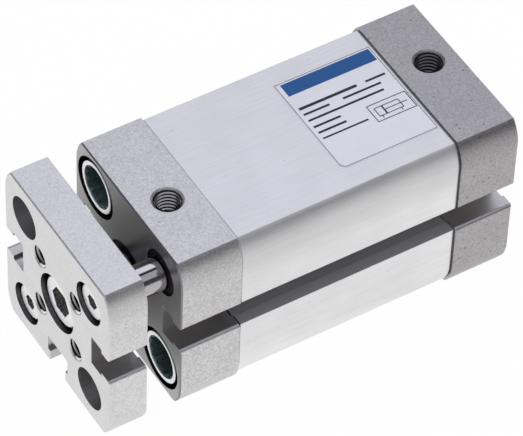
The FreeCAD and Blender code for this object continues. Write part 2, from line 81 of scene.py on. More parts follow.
SLOTS = {part["node"]: part["material_slot"] for part in frame["record"]["subparts"]}
MOUNTS = {mount["name"]: mount for mount in frame["record"]["mounts"]}
SECTION_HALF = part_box("front_cap")[1].y
BARREL_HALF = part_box("barrel")[1].y
PLATE_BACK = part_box("yoke_plate")[0].x
PLATE_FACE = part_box("yoke_plate")[1].x
SCREW_REACH = MOUNTS["rear_screw_threads"]["dims"]["spacing_x_mm"] * MM / 2
THREAD_REACH = MOUNTS["plate_threads"]["dims"]["pcd_mm"] * MM / 2 / math.sqrt(2)
CORNERS = ((1, 1), (-1, 1), (-1, -1), (1, -1))

# A face's normal beyond these is square to X, or tilted towards it.
SQUARE_ON = 0.99
TILTED = 0.5
# A noise keeps within about a quarter of its middle.
NOISE_MIDDLE = 0.5
NOISE_GAIN = 4.0
# Sockets of a Mix node that mixes colours.
MIX_SHARE, MIX_FIRST, MIX_SECOND, MIX_RESULT = 0, 6, 7, 2


class Body(Enum):
    """The two rigid bodies that the pieces ride on."""

    HOUSING = "housing"
    SLIDER = "slider"


class Lay(Enum):
    """The way that the marks of a tool run over a finish."""

    EVEN = (1.0, 1.0, 1.0)
    ALONG_X = (0.03, 1.0, 1.0)
    ROUND_X = (1.0, 0.12, 0.12)


class Part(IntEnum):
    """Places in a piece's list of finishes, some of them shared by different kinds of piece."""

    CREST = 0
    ROOT = 1
    BORE = 1
    FLOOR = 2
    CAP_FRONT = 2
    ACCESS = 2
    CAP_RIM = 3
    PLATE_FRONT = 3


# ---- shader graphs

class Graph:
    """Builds the shader graph of a material or a world round its main shader."""

    def __init__(
        self, owner: Union[bpy.types.Material, bpy.types.World],
        shader: str = "Principled BSDF", place: str = "Object",
    ) -> None:
        """Find the main shader and add the coordinates.

        Args:
            owner: the material or world.
            shader: name of its main shader.
            place: kind of coordinates.
        """
        self.owner = owner
        owner.use_nodes = True
        self.tree = owner.node_tree
        self.shader = self.tree.nodes[shader]
        self.place = self.add("ShaderNodeTexCoord", {}).outputs[place]

    def add(self, kind: str, values: dict, **settings: str) -> bpy.types.Node:
        """Add a node.

        Args:
            kind: type of the node.
            values: an output, a colour, a vector or a number for each input.
            settings: properties of the node.

        Returns:
            The new node.
        """
        node = self.tree.nodes.new(kind)
        for key, setting in settings.items():
            setattr(node, key, setting)
        for key, value in values.items():
            target = node.inputs[key]
            if isinstance(value, Socket):
                self.link(value, target)
            else:
                target.default_value = (*value, 1.0) if target.type == "RGBA" else value
        return node

    def link(self, source: Socket, target: Socket) -> None:
        """Join an output to an input."""
        self.tree.links.new(source, target)

    def mapped(self, scale: Triple, shift: Triple = (0.0, 0.0, 0.0)) -> Socket:
        """Shift the coordinates by metres, then scale them."""
        moved = self.add("ShaderNodeVectorMath", {0: self.place, 1: shift}, operation="ADD")
        values = {0: moved.outputs[0], 1: scale}
        return self.add("ShaderNodeVectorMath", values, operation="MULTIPLY").outputs[0]

    def noise(self, place: Socket, scale: float, detail: float = 2.0) -> Socket:
        """Add noise from 0 to 1, with its grains in a metre and its octaves."""
        values = {"Vector": place, "Scale": scale, "Detail": detail}
        return self.add("ShaderNodeTexNoise", values).outputs["Fac"]

    def swing(self, noise: Socket, size: float) -> Socket:
        """Turn a noise into a swing round 0 of about this size to each side."""
        centred = self.math("SUBTRACT", noise, NOISE_MIDDLE)
        return self.math("MULTIPLY", centred, size * NOISE_GAIN)

    def pits(self, scale: float, reach: float) -> Socket:
        """Scatter round pits, 1 in the middle and 0 beyond their share of a cell."""
        cells = self.add("ShaderNodeTexVoronoi", {"Vector": self.place, "Scale": scale})
        return self.ramp(cells.outputs["Distance"], (0.0, 1.0), (reach, 0.0))

    def ramp(self, value: Socket, start: Point, end: Point) -> Socket:
        """Map a value along a straight run.

        Args:
            value: the value to map.
            start: place and result at the run's start.
            end: place and result at its end.

        Returns:
            The mapped value.
        """
        node = self.add("ShaderNodeValToRGB", {"Fac": value})
        for element, (place, result) in zip(node.color_ramp.elements, (start, end)):
            element.position = place
            element.color = (result, result, result, 1.0)
        return node.outputs["Color"]

    def math(self, operation: str, first: Value, second: Value = 0.0) -> Socket:
        """Combine two values."""
        return self.add("ShaderNodeMath", {0: first, 1: second}, operation=operation).outputs[0]

    def axis(self, name: str) -> Socket:
        """Give one coordinate, in metres on an object."""
        return self.add("ShaderNodeSeparateXYZ", {0: self.place}).outputs[name]

    def radius(self) -> Socket:
        """Give the distance from the rod's axis in metres."""
        squares = [self.math("MULTIPLY", side, side) for side in map(self.axis, "YZ")]
        return self.math("SQRT", self.math("ADD", *squares))

    def mix_values(self, share: Socket, first: float, second: float) -> Socket:
        """Give first at a share of 0, second at 1 and a straight run between them."""
        return self.math("ADD", self.math("MULTIPLY", share, second - first), first)

    def fade(self, value: Socket, low: float, high: float, run: str = "SMOOTHSTEP") -> Socket:
        """Give 0 below low, 1 above high and a smooth or straight rise between them."""
        values = {"Value": value, "From Min": low, "From Max": high}
        return self.add("ShaderNodeMapRange", values, interpolation_type=run).outputs["Result"]

    def below(self, value: Socket, high: float, soft: float) -> Socket:
        """Give 1 below high, and a smooth fall to 0 over the soft width above it."""
        return self.math("SUBTRACT", 1.0, self.fade(value, high, high + soft))

    def between(self, value: Socket, low: float, high: float, soft: float) -> Socket:
        """Give 1 from low to high and 0 beyond a soft width outside them."""
        rise = self.fade(value, low - soft, low)
        return self.math("MULTIPLY", rise, self.below(value, high, soft))

    def mix(self, share: Socket, first: object, second: object) -> Socket:
        """Mix two colours, each a tuple or a socket, by the share of the second."""
        values = {MIX_SHARE: share, MIX_FIRST: first, MIX_SECOND: second}
        return self.add("ShaderNodeMix", values, data_type="RGBA").outputs[MIX_RESULT]

    def dimmed(self, colour: Triple, level: Socket) -> Socket:
        """Multiply a colour by a brightness."""
        values = {0: colour, "Scale": level}
        return self.add("ShaderNodeVectorMath", values, operation="SCALE").outputs[0]

    def mottle(self, scale: float, dark: Triple, light: Triple) -> Socket:
        """Colour the shader with specks.

        Args:
            scale: specks in a metre.
            dark: colour where the specks are 0.
            light: colour where they are 1.

        Returns:
            The specks, from 0 to 1.
        """
        specks = self.noise(self.place, scale)
        self.link(self.mix(specks, dark, light), self.shader.inputs["Base Color"])
        return specks

    def bump(self, height: Socket, depth: float, strength: float) -> None:
        """Give the surface a relief of a depth in metres, of which a share shows."""
        values = {"Height": height, "Distance": depth, "Strength": strength}
        relief = self.add("ShaderNodeBump", values).outputs["Normal"]
        self.link(relief, self.shader.inputs["Normal"])

    def show_mix(self, share: Socket, first: Socket, second: Socket) -> None:
        """Show a mix of two shaders, by the share of the second."""
        node = self.add("ShaderNodeMixShader", {0: share, 1: first, 2: second})
        self.link(node.outputs[0], self.tree.nodes["Material Output"].inputs[0])


# ---- finishes

@dataclass(frozen=True)
class SlotShade:
    """Colour and gloss inside the three sensor slots: the milled walls' own gloss, and a darker
    colour as painted shade in the slots.
    """

    half_side: float
    colour: Triple
    roughness: float
    dullness: float = 0.0
    mouth: float = 3.6 * MM
    depth: float = 6.5 * MM
    lip: float = 0.06 * MM
    soft: float = 0.06 * MM

    def mask(self, graph: Graph) -> Socket:
        """Mark the inside of the slots in both sides and underneath.

        Args:
            graph: graph that the mask is built in.

        Returns:
            1 inside a slot.
        """
        up = graph.axis("Z")
        down = graph.math("MULTIPLY", up, -1.0)
        across = graph.math("ABSOLUTE", graph.axis("Y"))
        rise = graph.math("ABSOLUTE", up)
        marks = []
        for inward, off_middle in ((across, rise), (down, across)):
            inner, outer = self.half_side - self.depth, self.half_side - self.lip
            reach = graph.between(inward, inner, outer, self.soft)
            width = graph.below(off_middle, self.mouth, self.soft)
            marks.append(graph.math("MULTIPLY", reach, width))
        return graph.math("MAXIMUM", *marks)


class PaintedShade:
    """A painted shade that dims a metal's colour over part of its faces."""

    def level(self, graph: Graph) -> Socket:
        """Give the share of the metal's colour that shows."""
        raise NotImplementedError


@dataclass(frozen=True)
class RodGapShade(PaintedShade):
    """Painted shade on the front cap's face round the rods, where the plate in front shades the
    gap: darkest near the axis, lighter outwards.
    """

    inner: float
    outer: float
    share: float
    rim_share: float

    def level(self, graph: Graph) -> Socket:
        """Give the share of the metal's colour that shows."""
        reach = graph.fade(graph.radius(), self.inner, self.outer)
        return graph.mix_values(reach, self.share, self.rim_share)


@dataclass(frozen=True)
class DeepShade(PaintedShade):
    """Painted shade that darkens the thread turns deep in the holes of a face across X."""

    deep: float
    mouth: float
    share: float

    def level(self, graph: Graph) -> Socket:
        """Give the share of the metal's colour that shows."""
        clean = graph.fade(graph.axis("X"), self.deep, self.mouth)
        return graph.mix_values(clean, self.share, 1.0)


@dataclass(frozen=True)
class CornerShade(PaintedShade):
    """Painted shade: a darker band on a drawn or cast side below its upper corners, standing in for
    the darker reflection there.
    """

    clear: float
    dark: float
    corner: float
    share: float = 0.78
    soft: float = 0.5 * MM

    def level(self, graph: Graph) -> Socket:
        """Give the brightness that the band leaves.

        Args:
            graph: graph that the level is built in.

        Returns:
            The share of the metal's colour that shows.
        """
        up = graph.axis("Z")
        below = graph.below(up, self.corner - self.soft, self.soft)
        band = graph.math("MULTIPLY", graph.fade(up, self.clear, self.dark), below)
        return graph.mix_values(band, 1.0, self.share)


@dataclass(frozen=True)
class Finish:
    """A named finish that builds its own material."""

    name: str

    def graph(self) -> Graph:
        """Start the graph of a new material."""
        return Graph(bpy.data.materials.new(self.name))

    def build(self) -> bpy.types.Material:
        """Make the material."""
        raise NotImplementedError


@dataclass(frozen=True)
class Metal(Finish):
    """A metal surface with grain, tool marks and scattered pits."""

    colour: Triple
    roughness: float = 0.4
    metallic: float = 1.0
    grain: float = 0.06
    grains: float = 5200.0
    grain_octaves: float = 3.0
    grain_roughness: float = 0.12
    lay: Lay = Lay.EVEN
    cloud: float = 0.03
    cloud_scale: float = 160.0
    pits: float = 0.0
    pit_scale: float = 640.0
    pit_shade: float = 0.35
    patch_scale: float = 300.0
    patch_shift: Triple = (0.2, 0.1, 0.3)
    patch_edge: Point = (0.52, 0.6)
    relief: float = 2e-6
    relief_share: float = 0.6
    # The slot colour is painted shade in the slots.
    slots: Optional[SlotShade] = None
    # The film is painted shade on the metal's colour.
    film: Optional[PaintedShade] = None

    def build(self) -> bpy.types.Material:
        """Make the material.

        Returns:
            The finished material.
        """
        graph = self.graph()
        shader = graph.shader
        shader.inputs["Metallic"].default_value = self.metallic
        marks = graph.noise(graph.mapped(self.lay.value), self.grains, self.grain_octaves)
        rough = graph.math("MULTIPLY", marks, self.grain_roughness)
        rough = graph.math("ADD", rough, self.roughness - self.grain_roughness / 2)
        colour = graph.dimmed(self.colour, self.level(graph, marks))
        if self.pits:
            colour = self.pitted(graph, colour)
        # Inside the slots the colour is darkened as painted shade; metallic and roughness change
        # there too.
        if self.slots:
            inside = self.slots.mask(graph)
            colour = graph.mix(inside, colour, self.slots.colour)
            dulled = graph.math("MULTIPLY", inside, self.slots.dullness)
            graph.link(graph.math("SUBTRACT", self.metallic, dulled), shader.inputs["Metallic"])
            change = graph.math("MULTIPLY", inside, self.slots.roughness - self.roughness)
            rough = graph.math("ADD", rough, change)
        graph.link(colour, shader.inputs["Base Color"])
        graph.link(rough, shader.inputs["Roughness"])
        graph.bump(marks, self.relief, self.relief_share)
        return graph.owner

    def level(self, graph: Graph, marks: Socket) -> Socket:
        """Combine grain, clouds and the film's painted shade into one brightness.

        Args:
            graph: graph that the level is built in.
            marks: the grain, from 0 to 1.

        Returns:
            The brightness, round 1 where no painted shade lies.
        """
        clouds = graph.noise(graph.place, self.cloud_scale)
        both = graph.math("ADD", graph.swing(marks, self.grain), graph.swing(clouds, self.cloud))
        level = graph.math("ADD", both, 1.0)
        if self.film:
            level = graph.math("MULTIPLY", level, self.film.level(graph))
        return level

    def pitted(self, graph: Graph, colour: Socket) -> Socket:
        """Scatter dark pits in patches.

        Args:
            graph: graph that the pits are built in.
            colour: colour between the pits.

        Returns:
            The colour with its pits.
        """
        place = graph.mapped(Lay.EVEN.value, self.patch_shift)
        start, end = self.patch_edge
        cover = graph.noise(place, self.patch_scale, 1.0)
        patches = graph.ramp(cover, (start, 0.0), (end, 1.0))
        dots = graph.math("MULTIPLY", graph.pits(self.pit_scale, self.pits), patches)
        return graph.mix(dots, colour, tuple(self.pit_shade * part for part in self.colour))


@dataclass(frozen=True)
class Solid(Finish):
    """A rubber, plastic or printed surface."""

    colour: Triple
    roughness: float = 0.5
    mottle: float = 0.15
    scale: float = 2400.0
    relief: float = 2e-6
    relief_share: float = 0.5

    def build(self) -> bpy.types.Material:
        """Make the material.

        Returns:
            The finished material.
        """
        graph = self.graph()
        graph.shader.inputs["Roughness"].default_value = self.roughness
        dark = tuple(part * (1 - self.mottle) for part in self.colour)
        light = tuple(min(1.0, part * (1 + self.mottle)) for part in self.colour)
        graph.bump(graph.mottle(self.scale, dark, light), self.relief, self.relief_share)
        return graph.owner


@dataclass(frozen=True)
class Cloth(Finish):
    """Dark cloth that thins out towards both ends along one axis."""

    axis: str
    low: float
    high: float
    soft: float
    share: float
    dark: Triple = (0.05, 0.05, 0.055)
    light: Triple = (0.07, 0.07, 0.075)
    weave_scale: float = 40.0

    def build(self) -> bpy.types.Material:
        """Make the cloth.

        Returns:
            The cloth's material.
        """
        graph = self.graph()
        graph.shader.inputs["Roughness"].default_value = 1.0
        graph.mottle(self.weave_scale, self.dark, self.light)
        clear = graph.add("ShaderNodeBsdfTransparent", {})
        start, end = self.low + self.soft, self.high - self.soft
        body = graph.between(graph.axis(self.axis), start, end, self.soft)
        share = graph.math("MULTIPLY", body, self.share)
        graph.show_mix(share, clear.outputs[0], graph.shader.outputs[0])
        return graph.owner


@dataclass(frozen=True)
class PaleFloor(Finish):
    """A floor that is white to the camera and takes a light shadow."""

    dark: Triple = (0.86, 0.86, 0.86)
    light: Triple = (0.9, 0.9, 0.9)
    patch_scale: float = 3.0
    roughness: float = 0.9
    glow: float = 1.01
    glow_share: float = 0.97

    def build(self) -> bpy.types.Material:
        """Make the floor glow where the camera, a gloss or a glass sees it.

        Returns:
            The floor's material.
        """
        graph = self.graph()
        graph.shader.inputs["Roughness"].default_value = self.roughness
        graph.mottle(self.patch_scale, self.dark, self.light)
        glow = graph.add("ShaderNodeEmission", {"Strength": self.glow})
        path = graph.add("ShaderNodeLightPath", {})
        seen = path.outputs["Is Camera Ray"]
        for ray in ("Is Glossy Ray", "Is Transmission Ray"):
            seen = graph.math("MAXIMUM", seen, path.outputs[ray])
        share = graph.math("MULTIPLY", seen, self.glow_share)
        graph.show_mix(share, graph.shader.outputs[0], glow.outputs[0])
        return graph.owner


BRIGHT_EDGE = 0.1 * MM
# Slot colours: darker than the metal round them, as painted shade.
MILLED_SLOT_SHADE = SlotShade(SECTION_HALF, (0.50, 0.49, 0.49), roughness=0.34, lip=0.3 * MM)
BARREL_SLOT_SHADE = SlotShade(BARREL_HALF, (0.47, 0.458, 0.455), roughness=0.42, dullness=0.75)
# Black in the slots: painted shadow of the front joint's gap.
GASKET_SLOT_SHADOW = SlotShade(BARREL_HALF, (0.01, 0.01, 0.01), roughness=0.7)
# Painted shade on the front cap's face round the rods.
ROD_GAP_SHADE = RodGapShade(inner=5.0 * MM, outer=25.0 * MM, share=0.18, rim_share=0.72)
# Painted shade deep in the plate's load threads.
THREAD_DEPTH_SHADE = DeepShade(deep=PLATE_FACE - 1.1 * MM, mouth=PLATE_FACE - 0.3 * MM, share=0.08)
# Painted shade below the upper corners of the barrel, caps and plate.
DRAWN_CORNER_SHADE = CornerShade(clear=6.0 * MM, dark=15.8 * MM, corner=BARREL_HALF - BRIGHT_EDGE)
CAST_CORNER_SHADE = CornerShade(clear=10.0 * MM, dark=16.6 * MM, corner=SECTION_HALF - BRIGHT_EDGE)

CAP_CASTING = Metal(
    "cap_casting", (0.625, 0.613, 0.618), roughness=0.42, grain=0.26, grains=2900.0, pits=0.14,
    slots=MILLED_SLOT_SHADE, film=CAST_CORNER_SHADE,
)
REAR_CASTING = Metal(
    "rear_cap_casting", (0.415, 0.40, 0.408), grain=0.27, grains=3300.0, pits=0.22,
    slots=MILLED_SLOT_SHADE, film=CAST_CORNER_SHADE,
)
# The milled front face carries the painted shade of the rod gap.
CAP_FRONT = Metal(
    "cap_front_milled", (0.60, 0.59, 0.595), grain=0.15, grains=2900.0, pits=0.1, film=ROD_GAP_SHADE,
)
# Dark colour on the front cap's rim chamfer, as painted shade.
RIM_SHADE = Metal("cap_front_rim_shade", (0.26, 0.25, 0.28), grain=0.1, grains=2900.0)
PLATE_METAL = Metal(
    "plate_aluminium", (0.70, 0.69, 0.69), roughness=0.42, grain=0.18, grains=2900.0, pits=0.11,
    slots=MILLED_SLOT_SHADE, film=CAST_CORNER_SHADE,
)
PLATE_FRONT = Metal(
    "plate_front_milled", (0.715, 0.705, 0.71), roughness=0.42, grain=0.09, grains=2900.0,
)
BARREL_METAL = Metal(
    "barrel_profile", (0.87, 0.862, 0.87), roughness=0.5, grains=3000.0, lay=Lay.ALONG_X, pits=0.09,
    relief=1e-6, slots=BARREL_SLOT_SHADE, film=DRAWN_CORNER_SHADE,
)
# Thread colours: the port crests darker than their caps as painted shade, the plate's crests
# brighter than the plate as a painted highlight, the roots nearly black as painted shade.
PORT_CREST = Metal("port_thread_crest", (0.40, 0.39, 0.40), roughness=0.16, grains=2600.0)
DARK_CREST = Metal("rear_port_thread_crest", (0.12, 0.115, 0.12), roughness=0.22, grains=2600.0)
PLATE_CREST = Metal(
    "plate_thread_crest", (0.80, 0.79, 0.80), roughness=0.3, grains=2600.0, film=THREAD_DEPTH_SHADE,
)
ROOT_SHADE = Metal("thread_root_shade", (0.035, 0.033, 0.035), roughness=0.5, grains=2600.0)
# Walls of bored seats, ports and holes, darkened as painted shade.
BORED_METAL_AND_SHADE = Metal(
    "bored_aluminium_and_shade", (0.11, 0.105, 0.11), roughness=0.32, grain=0.08, grains=2600.0,
    lay=Lay.ROUND_X,
)
# Access hole walls, darker than the plate as painted shade in the holes.
ACCESS_METAL = Metal(
    "bored_access_hole", (0.42, 0.41, 0.415), roughness=0.38, metallic=0.85, grain=0.09,
    grains=3600.0, lay=Lay.ALONG_X,
)
ROD_STEEL = Metal(
    "rod_steel", (0.44, 0.42, 0.435), roughness=0.08, grain=0.02, grains=3000.0, lay=Lay.ROUND_X,
)
SCREW_STEEL = Metal("screw_steel", (0.84, 0.845, 0.86), roughness=0.36, grain=0.14, grains=2200.0)
# Collar screw socket wall and floor, darkened as painted shade in the hollow.
SOCKET_WALL = Metal(
    "socket_wall", (0.24, 0.33, 0.33), roughness=0.3, metallic=0.6, grain=0.4, grains=1600.0,
)
SOCKET_FLOOR = Metal("socket_floor", (0.05, 0.075, 0.08), metallic=0.2, grain=0.3, grains=2000.0)
# Hex socket of the plate's screws, darker than the screw as painted shade in the socket.
KEY_STEEL = Metal(
    "key_socket_steel", (0.42, 0.43, 0.40), roughness=0.24, metallic=0.9, grain=0.5, grains=2400.0,
)
PISTON_METAL = Metal(
    "piston_aluminium", (0.62, 0.62, 0.64), roughness=0.3, grain=0.03, grains=3000.0,
    lay=Lay.ROUND_X,
)
BRONZE = Metal("bush_bronze", (0.40, 0.27, 0.13), roughness=0.38, grain=0.1, pits=0.15)
FERRITE = Metal("magnet_ferrite", (0.06, 0.06, 0.065), roughness=0.5, metallic=0.4, grain=0.1)
GASKET_RUBBER = Solid("gasket_rubber", (0.46, 0.46, 0.47), roughness=0.8)
# Front gasket painted pale as painted light over the joint's shaded line, and black in the slots as
# painted shadow.
PALE_GASKET = Metal(
    "front_gasket_painted_light", (0.80, 0.80, 0.83), roughness=0.6, metallic=0.0, grain=0.04,
    slots=GASKET_SLOT_SHADOW,
)
SEAL_RUBBER = Solid("seal_rubber", (0.006, 0.006, 0.007), roughness=0.75)
POLYURETHANE = Solid("cushion_polyurethane", (0.05, 0.05, 0.055), roughness=0.4)
BAND_PLASTIC = Solid("band_plastic", (0.08, 0.08, 0.085), roughness=0.35)
LABEL_FILM = Metal(
    "label_film", (0.89, 0.89, 0.91), roughness=0.42, metallic=0.6, grain=0.015, grains=3000.0,
    lay=Lay.ALONG_X,
)
LABEL_GREY = Solid("label_grey", (0.22, 0.22, 0.24))
LABEL_BLACK = Solid("label_black", (0.02, 0.02, 0.025))
LABEL_BLUE = Solid("label_blue", (0.002, 0.118, 0.385))

INNER_FINISHES = {finish.name: finish for finish in (
    SCREW_STEEL, PISTON_METAL, BRONZE, FERRITE, GASKET_RUBBER, SEAL_RUBBER, POLYURETHANE,
    BAND_PLASTIC,
)}


@cache
def material_of(finish: Finish) -> bpy.types.Material:
    """Give the material of a finish, built at its first use."""
    return finish.build()


# ---- mesh tools

def new_object(name: str, shape: Mesh, finishes: Iterable[Finish]) -> bpy.types.Object:
    """Turn a bmesh into an object of the scene.

    Args:
        name: name of the object.
        shape: its mesh, which is freed.
        finishes: finishes in the order of the faces' material indices.

    Returns:
        The new object.
    """
    mesh = bpy.data.meshes.new(name)
    shape.to_mesh(mesh)
    shape.free()
    for finish in finishes:
        mesh.materials.append(material_of(finish))
    made = bpy.data.objects.new(name, mesh)
    bpy.context.scene.collection.objects.link(made)
    return made


def add_piece(
    name: str, shape: Mesh, body: Body, finishes: Iterable[Finish],
) -> bpy.types.Object:
    """Turn a bmesh into a piece that rides on a body.

    Args:
        name: name of the piece.
        shape: its mesh, which is freed.
        body: body that it rides on.
        finishes: finishes in the order of the faces' material indices.

    Returns:
        The new object.
    """
    piece = new_object(name, shape, finishes)
    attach(piece, body.value)
    return piece


def node_shape(node: str, joined: bool = True) -> Mesh:
    """Copy a CAD node's mesh with its corners merged.

    Args:
        node: name of the CAD node.
        joined: whether the facets of each flat face are joined.

    Returns:
        The merged copy.
    """
    shape = bmesh.new()
    shape.from_mesh(frame["nodes"][node].data)
    bmesh.ops.remove_doubles(shape, verts=shape.verts, dist=1e-7)
    if joined:
        bmesh.ops.dissolve_limit(
            shape, angle_limit=math.radians(0.2), verts=shape.verts, edges=shape.edges,
        )
    bmesh.ops.recalc_face_normals(shape, faces=shape.faces)
    for face in shape.faces:
        face.smooth = True
    return shape


def break_edges(piece: bpy.types.Object, width: float) -> None:
    """Round the sharp edges of a piece.

    Args:
        piece: the object to finish.
        width: width of the rounding in metres.
    """
    bevel = piece.modifiers.new("broken_edges", "BEVEL")
    bevel.limit_method = "ANGLE"
    bevel.angle_limit = math.radians(32)
    bevel.width = width
    bevel.segments = 2
    bevel.profile = 0.5
    bevel.miter_outer = "MITER_ARC"
    normals = piece.modifiers.new("flat_faces", "WEIGHTED_NORMAL")
    normals.mode = "FACE_AREA"
    normals.weight = 100


def dress_node(
    node: str, shape: Mesh, body: Body, finishes: Iterable[Finish], edge: float,
) -> None:
    """Show a mesh with broken edges in the place of a CAD node.

    Args:
        node: name of the CAD node.
        shape: merged copy of the node's mesh.
        body: body that it rides on.
        finishes: finishes in the order of the faces' material indices.
        edge: width of the broken edges in metres.
    """
    piece = add_piece(node + "_finished", shape, body, finishes)
    break_edges(piece, edge)
    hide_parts(node)


def off_axis(face: bmesh.types.BMFace, y: float, z: float) -> float:
    """Give the distance of a face's middle from a line along X."""
    middle = face.calc_center_median()
    return math.hypot(middle.y - y, middle.z - z)


def mark_bored(shape: Mesh, holes: Sequence[Triple], index: int) -> None:
    """Give the walls of round holes along X their own material index.

    Args:
        shape: mesh with the holes.
        holes: y, z and reach of each hole, in metres.
        index: material index of the walls.
    """
    for face in shape.faces:
        if abs(face.normal.x) > TILTED:
            continue
        if any(off_axis(face, y, z) < reach for y, z, reach in holes):
            face.material_index = index


# ---- sub-assemblies

@dataclass(frozen=True)
class Threads:
    """Turns of a screw thread on the wall of a hole, its crests bright and its roots dark as
    painted light and shade.
    """

    radius: float
    pitch: float
    depth: float
    length: float
    root_share: float = 0.45
    steps: int = 36
    slack: float = 1.001

    def shape(self, start: Vector, way: Vector) -> Mesh:
        """Screw the ridge's outline down a hole, its faces turned towards the axis.

        Args:
            start: middle of the hole's mouth.
            way: direction into the hole.

        Returns:
            The thread's ridge.
        """
        shape = bmesh.new()
        wall = self.radius
        crest = self.radius - self.depth
        flat = self.pitch / 8
        middle = self.pitch / 2
        bright_from = wall - self.depth * self.root_share
        rise = (middle - flat) * self.root_share
        outline = (
            (wall, 0.0), (bright_from, rise), (crest, middle - flat), (crest, middle + flat),
            (wall, self.pitch),
        )
        corners = [shape.verts.new((reach, 0.0, -drop)) for reach, drop in outline]
        edges = [shape.edges.new(pair) for pair in zip(corners, corners[1:])]
        steps = int(self.steps * self.length / self.pitch)
        bmesh.ops.spin(
            shape, geom=corners + edges, cent=(0, 0, 0), axis=(0, 0, 1), steps=steps,
            angle=2 * math.pi * steps / self.steps, dvec=(0, 0, -self.pitch / self.steps),
            use_merge=False,
        )
        bmesh.ops.remove_doubles(shape, verts=shape.verts, dist=1e-8)
        bmesh.ops.recalc_face_normals(shape, faces=shape.faces)
        outward = 0.0
        for face in shape.faces:
            reaches = [vertex.co.xy.length for vertex in face.verts]
            inner = min(reaches) < crest * self.slack
            shows = inner and max(reaches) < bright_from * self.slack
            # Crest faces take the crest colour, the rest the root's painted shade.
            face.material_index = Part.CREST if shows else Part.ROOT
            face.smooth = False
            outward += face.normal.xy.dot(face.calc_center_median().xy) * face.calc_area()
        if outward > 0:
            bmesh.ops.reverse_faces(shape, faces=shape.faces)
        turn = Vector((0, 0, -1)).rotation_difference(way).to_matrix().to_4x4()
        place = Matrix.Translation(start) @ turn
        bmesh.ops.transform(shape, matrix=place, verts=shape.verts)
        return shape


@dataclass
class Housing:
    """The barrel and its two caps, with the threads of the air ports."""

    cap_edge: float = 0.12 * MM
    barrel_edge: float = 0.1 * MM
    port_thread: Threads = Threads(2.5 * MM, pitch=0.8 * MM, depth=0.36 * MM, length=6.0 * MM)
    port_slack: float = 1.02
    port_start: float = 0.05 * MM
    port_dark_from: float = 0.45 * MM
    seat_reach: float = 6.1 * MM
    rim_reach: float = 0.3 * MM

    def build(self) -> None:
        """Dress the caps and the barrel and cut the threads of the ports."""
        self.dress_cap("front", CAP_CASTING)
        self.dress_cap("rear", REAR_CASTING)
        barrel = node_shape("barrel")
        dress_node("barrel", barrel, Body.HOUSING, (BARREL_METAL,), self.barrel_edge)
        self.cut_port("front", PORT_CREST)
        self.cut_port("rear", DARK_CREST)

    def dress_cap(self, cap: str, finish: Metal) -> None:
        """Show one cap, its bored seats darkened with painted shade.

        Args:
            cap: front or rear.
            finish: finish of the cap.
        """
        shape = node_shape(cap + "_cap")
        holes = [(side * SCREW_REACH, up * SCREW_REACH, self.seat_reach) for side, up in CORNERS]
        mark_bored(shape, holes + [(0.0, 0.0, self.seat_reach)], Part.BORE)
        self.mark_port(shape, cap)
        if cap == "front":
            self.mark_front(shape)
        finishes = (finish, BORED_METAL_AND_SHADE, CAP_FRONT, RIM_SHADE)
        dress_node(cap + "_cap", shape, Body.HOUSING, finishes, self.cap_edge)

    def mark_front(self, shape: Mesh) -> None:
        """Give the milled front face of the front cap its own finish, and its rim chamfer a dark
        colour as painted shade.

        Args:
            shape: mesh of the cap.
        """
        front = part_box("front_cap")[1].x
        for face in shape.faces:
            behind = front - face.calc_center_median().x
            if face.normal.x > SQUARE_ON and behind < self.cap_edge:
                face.material_index = Part.CAP_FRONT
            elif face.normal.x > TILTED and behind < self.rim_reach:
                face.material_index = Part.CAP_RIM

    def mark_port(self, shape: Mesh, cap: str) -> None:
        """Give the wall and floor of the air port the bored finish, darkened with painted shade.

        Args:
            shape: mesh of the cap.
            cap: front or rear.
        """
        x, y, _ = MOUNTS[cap + "_port"]["pos_m"]
        for face in shape.faces:
            middle = face.calc_center_median()
            reach = math.hypot(middle.x - x, middle.y - y)
            deep = 0 < middle.z < SECTION_HALF - self.port_dark_from
            if deep and reach < self.port_thread.radius * self.port_slack:
                face.material_index = Part.BORE

    def cut_port(self, cap: str, crest: Metal) -> None:
        """Add the turns of one port's thread.

        Args:
            cap: front or rear.
            crest: finish of the thread's crests.
        """
        node = cap + "_cap"
        x, y, _ = MOUNTS[cap + "_port"]["pos_m"]
        start = Vector((x, y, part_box(node)[1].z - self.port_start))
        shape = self.port_thread.shape(start, Vector((0, 0, -1)))
        name = cap + "_port_thread"
        add_piece(name, shape, Body.HOUSING, (crest, ROOT_SHADE))


@dataclass
class CollarScrews:
    """The six hollow screws that hold the caps, bright at the rim and dark inside."""

    bright_radius: float = 4.3 * MM
    rim_drop: float = 0.12 * MM
    edge: float = 0.025 * MM

    def build(self) -> None:
        """Dress every collar screw."""
        for name in sorted(name for name in frame["nodes"] if "collar_screw" in name):
            self.dress(name)

    def dress(self, name: str) -> None:
        """Show one collar screw, its socket darkened with painted shade.

        Args:
            name: its CAD node.
        """
        # Facets joined on the narrow ring face let its broken edge close the socket.
        shape = node_shape(name, joined=False)
        low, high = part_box(name)
        centre = (low + high) / 2
        face_x = high.x if name.startswith("front") else low.x
        for face in shape.faces:
            drop = abs(face.calc_center_median().x - face_x)
            if drop > self.rim_drop and off_axis(face, *centre.yz) < self.bright_radius:
                across = abs(face.normal.x) > TILTED
                face.material_index = Part.FLOOR if across else Part.BORE
        finishes = (SCREW_STEEL, SOCKET_WALL, SOCKET_FLOOR)
        dress_node(name, shape, Body.HOUSING, finishes, self.edge)


